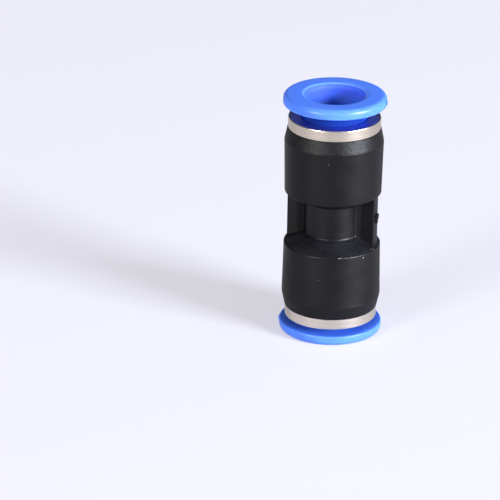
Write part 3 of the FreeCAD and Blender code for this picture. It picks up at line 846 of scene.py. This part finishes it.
def set_world(studio):
    """Even light from all sides, with the backdrop's colour wherever it is seen."""
    world = bpy.data.worlds.new("studio")
    world.use_nodes = True
    tree = world.node_tree
    tree.nodes.clear()
    lit = add_node(tree, "ShaderNodeBackground", {"Strength": studio.fill})
    lit.inputs["Color"].default_value = (1, 1, 1, 1)
    path = add_node(tree, "ShaderNodeLightPath")
    share = add_node(tree, "ShaderNodeMix", {
        "Factor": path.outputs["Is Camera Ray"], 2: studio.room, 3: 1.0})
    seen = add_node(tree, "ShaderNodeBackground", {"Strength": share.outputs[0]})
    seen.inputs["Color"].default_value = (*studio.backdrop, 1)
    mix = add_node(tree, "ShaderNodeMixShader",
                   {0: seen_ray(tree), 1: lit.outputs[0], 2: seen.outputs[0]})
    add_node(tree, "ShaderNodeOutputWorld", {"Surface": mix.outputs[0]})
    bpy.context.scene.world = world


def set_floor(studio):
    """Pale floor that takes a soft shadow."""
    material = bpy.data.materials.new("pale_floor")
    material.use_nodes = True
    tree = material.node_tree
    tree.nodes.clear()
    seen = seen_ray(tree)
    camera = add_node(tree, "ShaderNodeLightPath").outputs["Is Camera Ray"]
    mirrored = maths(tree, "MULTIPLY", seen, studio.mirrored_floor - studio.bounce)
    full = maths(tree, "MULTIPLY", camera, 1 - studio.mirrored_floor)
    tone = maths(tree, "ADD", maths(tree, "ADD", mirrored, full), studio.bounce)
    colour = add_node(tree, "ShaderNodeVectorMath", {0: studio.backdrop, "Scale": tone},
                      operation="SCALE").outputs[0]
    matt = add_node(tree, "ShaderNodeBsdfDiffuse", {"Color": colour})
    glow = add_node(tree, "ShaderNodeEmission", {"Color": colour, "Strength": 1.0})
    share = maths(tree, "MULTIPLY", seen, studio.glow)
    mix = add_node(tree, "ShaderNodeMixShader", {0: share, 1: matt.outputs[0], 2: glow.outputs[0]})
    add_node(tree, "ShaderNodeOutputMaterial", {"Surface": mix.outputs[0]})
    mesh = bpy.data.meshes.new("floor")
    corners = [(x * FLOOR_REACH, y * FLOOR_REACH, 0) for x, y in ((-1, -1), (1, -1), (1, 1), (-1, 1))]
    mesh.from_pydata(corners, [], [(0, 1, 2, 3)])
    mesh.materials.append(material)
    floor = bpy.data.objects.new("floor", mesh)
    bpy.context.scene.collection.objects.link(floor)


class CONNECTOR_OT_studio(bpy.types.Operator):
    """Set up the floor, the lamps and the camera"""
    bl_idname = "connector.studio"
    bl_label = "Studio"

    def execute(self, context):
        studio = context.scene.connector_studio
        set_floor(studio)
        set_world(studio)
        for name, values in LAMPS.items():
            add_lamp(name, studio, *values)
        set_camera(studio)
        context.scene.view_settings.view_transform = "Standard"
        return {"FINISHED"}


PIECES = (
    CONNECTOR_OT_body, CONNECTOR_OT_sleeves, CONNECTOR_OT_collars, CONNECTOR_OT_claws,
    CONNECTOR_OT_inner_rings, CONNECTOR_OT_flash, CONNECTOR_OT_specks, CONNECTOR_OT_burrs,
    CONNECTOR_OT_studio,
)


class CONNECTOR_PT_panel(bpy.types.Panel):
    """Pieces and settings of the connector"""
    bl_idname = "CONNECTOR_PT_panel"
    bl_label = "Push-fit connector"
    bl_space_type = "VIEW_3D"
    bl_region_type = "UI"
    bl_category = "Connector"

    def draw(self, context):
        layout = self.layout
        for settings in (context.scene.connector_sizes, context.scene.connector_colours,
                         context.scene.connector_studio):
            column = layout.column()
            for name in settings.__annotations__:
                column.prop(settings, name)
        for piece in PIECES:
            layout.operator(piece.bl_idname)


SETTINGS = {
    "connector_sizes": ConnectorSizes,
    "connector_colours": ConnectorColours,
    "connector_studio": ConnectorStudio,
}


def register():
    """Register the settings, the operators and the panel."""
    for group in SETTINGS.values():
        bpy.utils.register_class(group)
    for name, group in SETTINGS.items():
        setattr(bpy.types.Scene, name, PointerProperty(type=group))
    for piece in PIECES:
        bpy.utils.register_class(piece)
    bpy.utils.register_class(CONNECTOR_PT_panel)


def unregister():
    """Take away what register made, in the opposite order."""
    bpy.utils.unregister_class(CONNECTOR_PT_panel)
    for piece in reversed(PIECES):
        bpy.utils.unregister_class(piece)
    for name, group in reversed(SETTINGS.items()):
        delattr(bpy.types.Scene, name)
        bpy.utils.unregister_class(group)


def main():
    """Register, then run the operators."""
    register()
    for piece in PIECES:
        group, name = piece.bl_idname.split(".")
        getattr(getattr(bpy.ops, group), name)()


if __name__ == "__main__":
    main()
